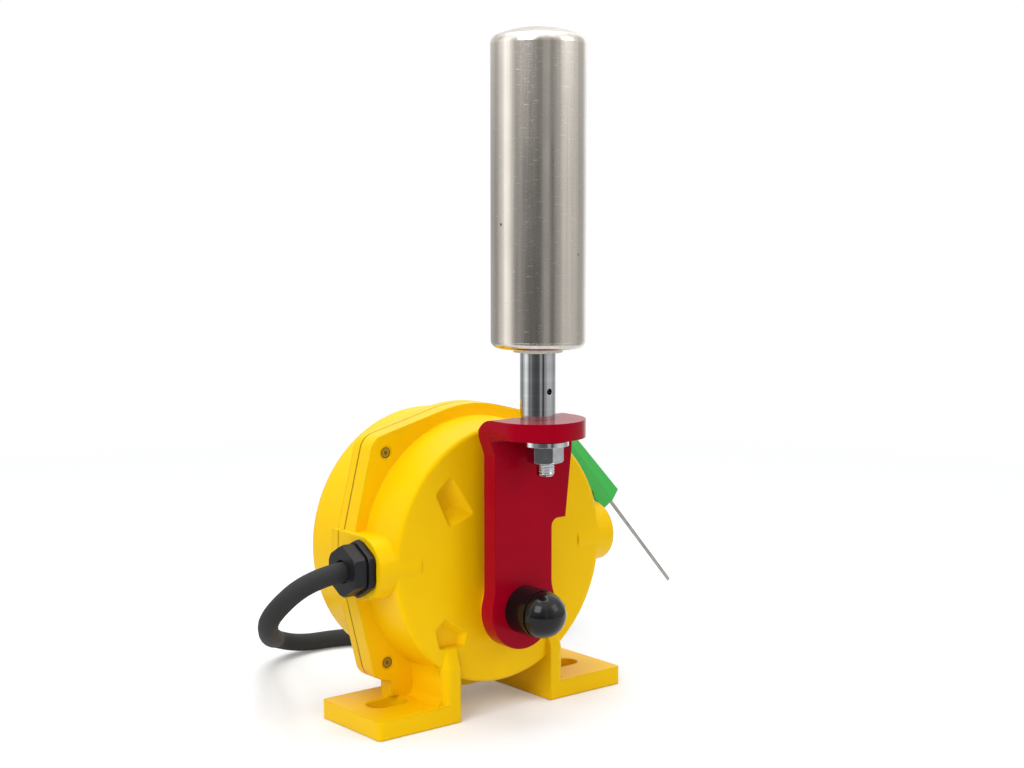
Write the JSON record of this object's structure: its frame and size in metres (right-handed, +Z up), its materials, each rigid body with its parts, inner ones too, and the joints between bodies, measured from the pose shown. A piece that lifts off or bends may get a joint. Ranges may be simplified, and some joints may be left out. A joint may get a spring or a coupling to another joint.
{
  "type": "belt misalignment switch",
  "caption": "Yellow cast conveyor belt misalignment switch with a red lever, a stainless roller, a cable gland and a clipped screwdriver",
  "frame": {"origin": "midway between the two foot slots, on the plane that the feet stand on", "axes": "+X to the right seen from the lever's side, +Y to the back away from the lever, +Z up along the roller at rest"},
  "size_m": [0.3077, 0.2866, 0.3703],
  "materials": {
    "yellow_paint": "smooth glossy paint on a fine casting",
    "red_paint": "glossy powder coat",
    "brushed_stainless": "drawn along its length",
    "bright_steel": "bright plated",
    "zinc_steel": "zinc plated",
    "bronze": "plain sintered bronze",
    "brass": "plain",
    "black_rubber": "matte",
    "cable_sheath": "satin sheath",
    "black_plastic": "moulded, satin",
    "black_gloss_plastic": "smooth",
    "ivory_plastic": "moulded",
    "green_plastic": "smooth translucent-looking"
  },
  "bodies": {
    "base": {"front_housing": "yellow_paint", "rear_housing": "yellow_paint", "housing_gasket": "black_rubber", "flange_screws": "zinc_steel", "front_bush": "bronze", "rear_bush": "bronze", "shaft_seal": "black_rubber", "alarm_switch": "black_plastic", "stop_switch": "black_plastic", "switch_terminals": "brass", "switch_bracket": "zinc_steel", "bracket_screws": "zinc_steel", "switch_screws": "zinc_steel", "terminal_block": "ivory_plastic", "terminal_screws": "zinc_steel", "earth_screw": "brass", "return_spring": "zinc_steel", "gland_body": "black_plastic", "gland_nut": "black_plastic", "gland_seal": "black_rubber", "blanking_plug": "yellow_paint", "tool_clip": "zinc_steel", "clip_screw": "zinc_steel", "cable": "cable_sheath", "cable_coil": "cable_sheath"},
    "lever": {"main_shaft": "zinc_steel", "shaft_collar": "zinc_steel", "alarm_cam": "black_plastic", "stop_cam": "black_plastic", "cam_screws": "zinc_steel", "lever_plate": "red_paint", "shaft_washer": "zinc_steel", "shaft_nut": "zinc_steel", "dome_cap": "black_gloss_plastic", "roller_axle": "bright_steel", "axle_circlip": "zinc_steel", "axle_washer": "bright_steel", "axle_nut": "bright_steel"},
    "roller": {"roller_shell": "brushed_stainless", "roller_bottom_cap": "brushed_stainless", "roller_lower_bush": "ivory_plastic", "roller_upper_hub": "zinc_steel", "roller_upper_bush": "ivory_plastic"},
    "alarm_plunger_body": {"alarm_plunger": "ivory_plastic"},
    "stop_plunger_body": {"stop_plunger": "ivory_plastic"},
    "tool": {"tool_grip": "green_plastic", "tool_blade": "bright_steel"}
  },
  "joints": [
    {"name": "lever_swing", "type": "hinge", "parent": "base", "child": "lever", "pos_m": [0, -0.033, 0.0605], "axis": [0, 1, 0], "range_deg": [-75, 75], "stiffness_Nm_per_rad": 6},
    {"name": "roller_spin", "type": "hinge", "parent": "lever", "child": "roller", "pos_m": [0, -0.0538, 0.2], "axis": [0, 0, 1], "continuous": true},
    {"name": "alarm_press", "type": "slide", "parent": "base", "child": "alarm_plunger_body", "axis": [0, 0, 1], "range_m": [0, 0.0008], "stiffness_N_per_m": 300},
    {"name": "stop_press", "type": "slide", "parent": "base", "child": "stop_plunger_body", "axis": [0, 0, 1], "range_m": [0, 0.0008], "stiffness_N_per_m": 300},
    {"name": "tool_slide", "type": "slide", "parent": "base", "child": "tool", "axis": [0.6665, 0, -0.7455], "range_m": [0, 0.045]}
  ]
}
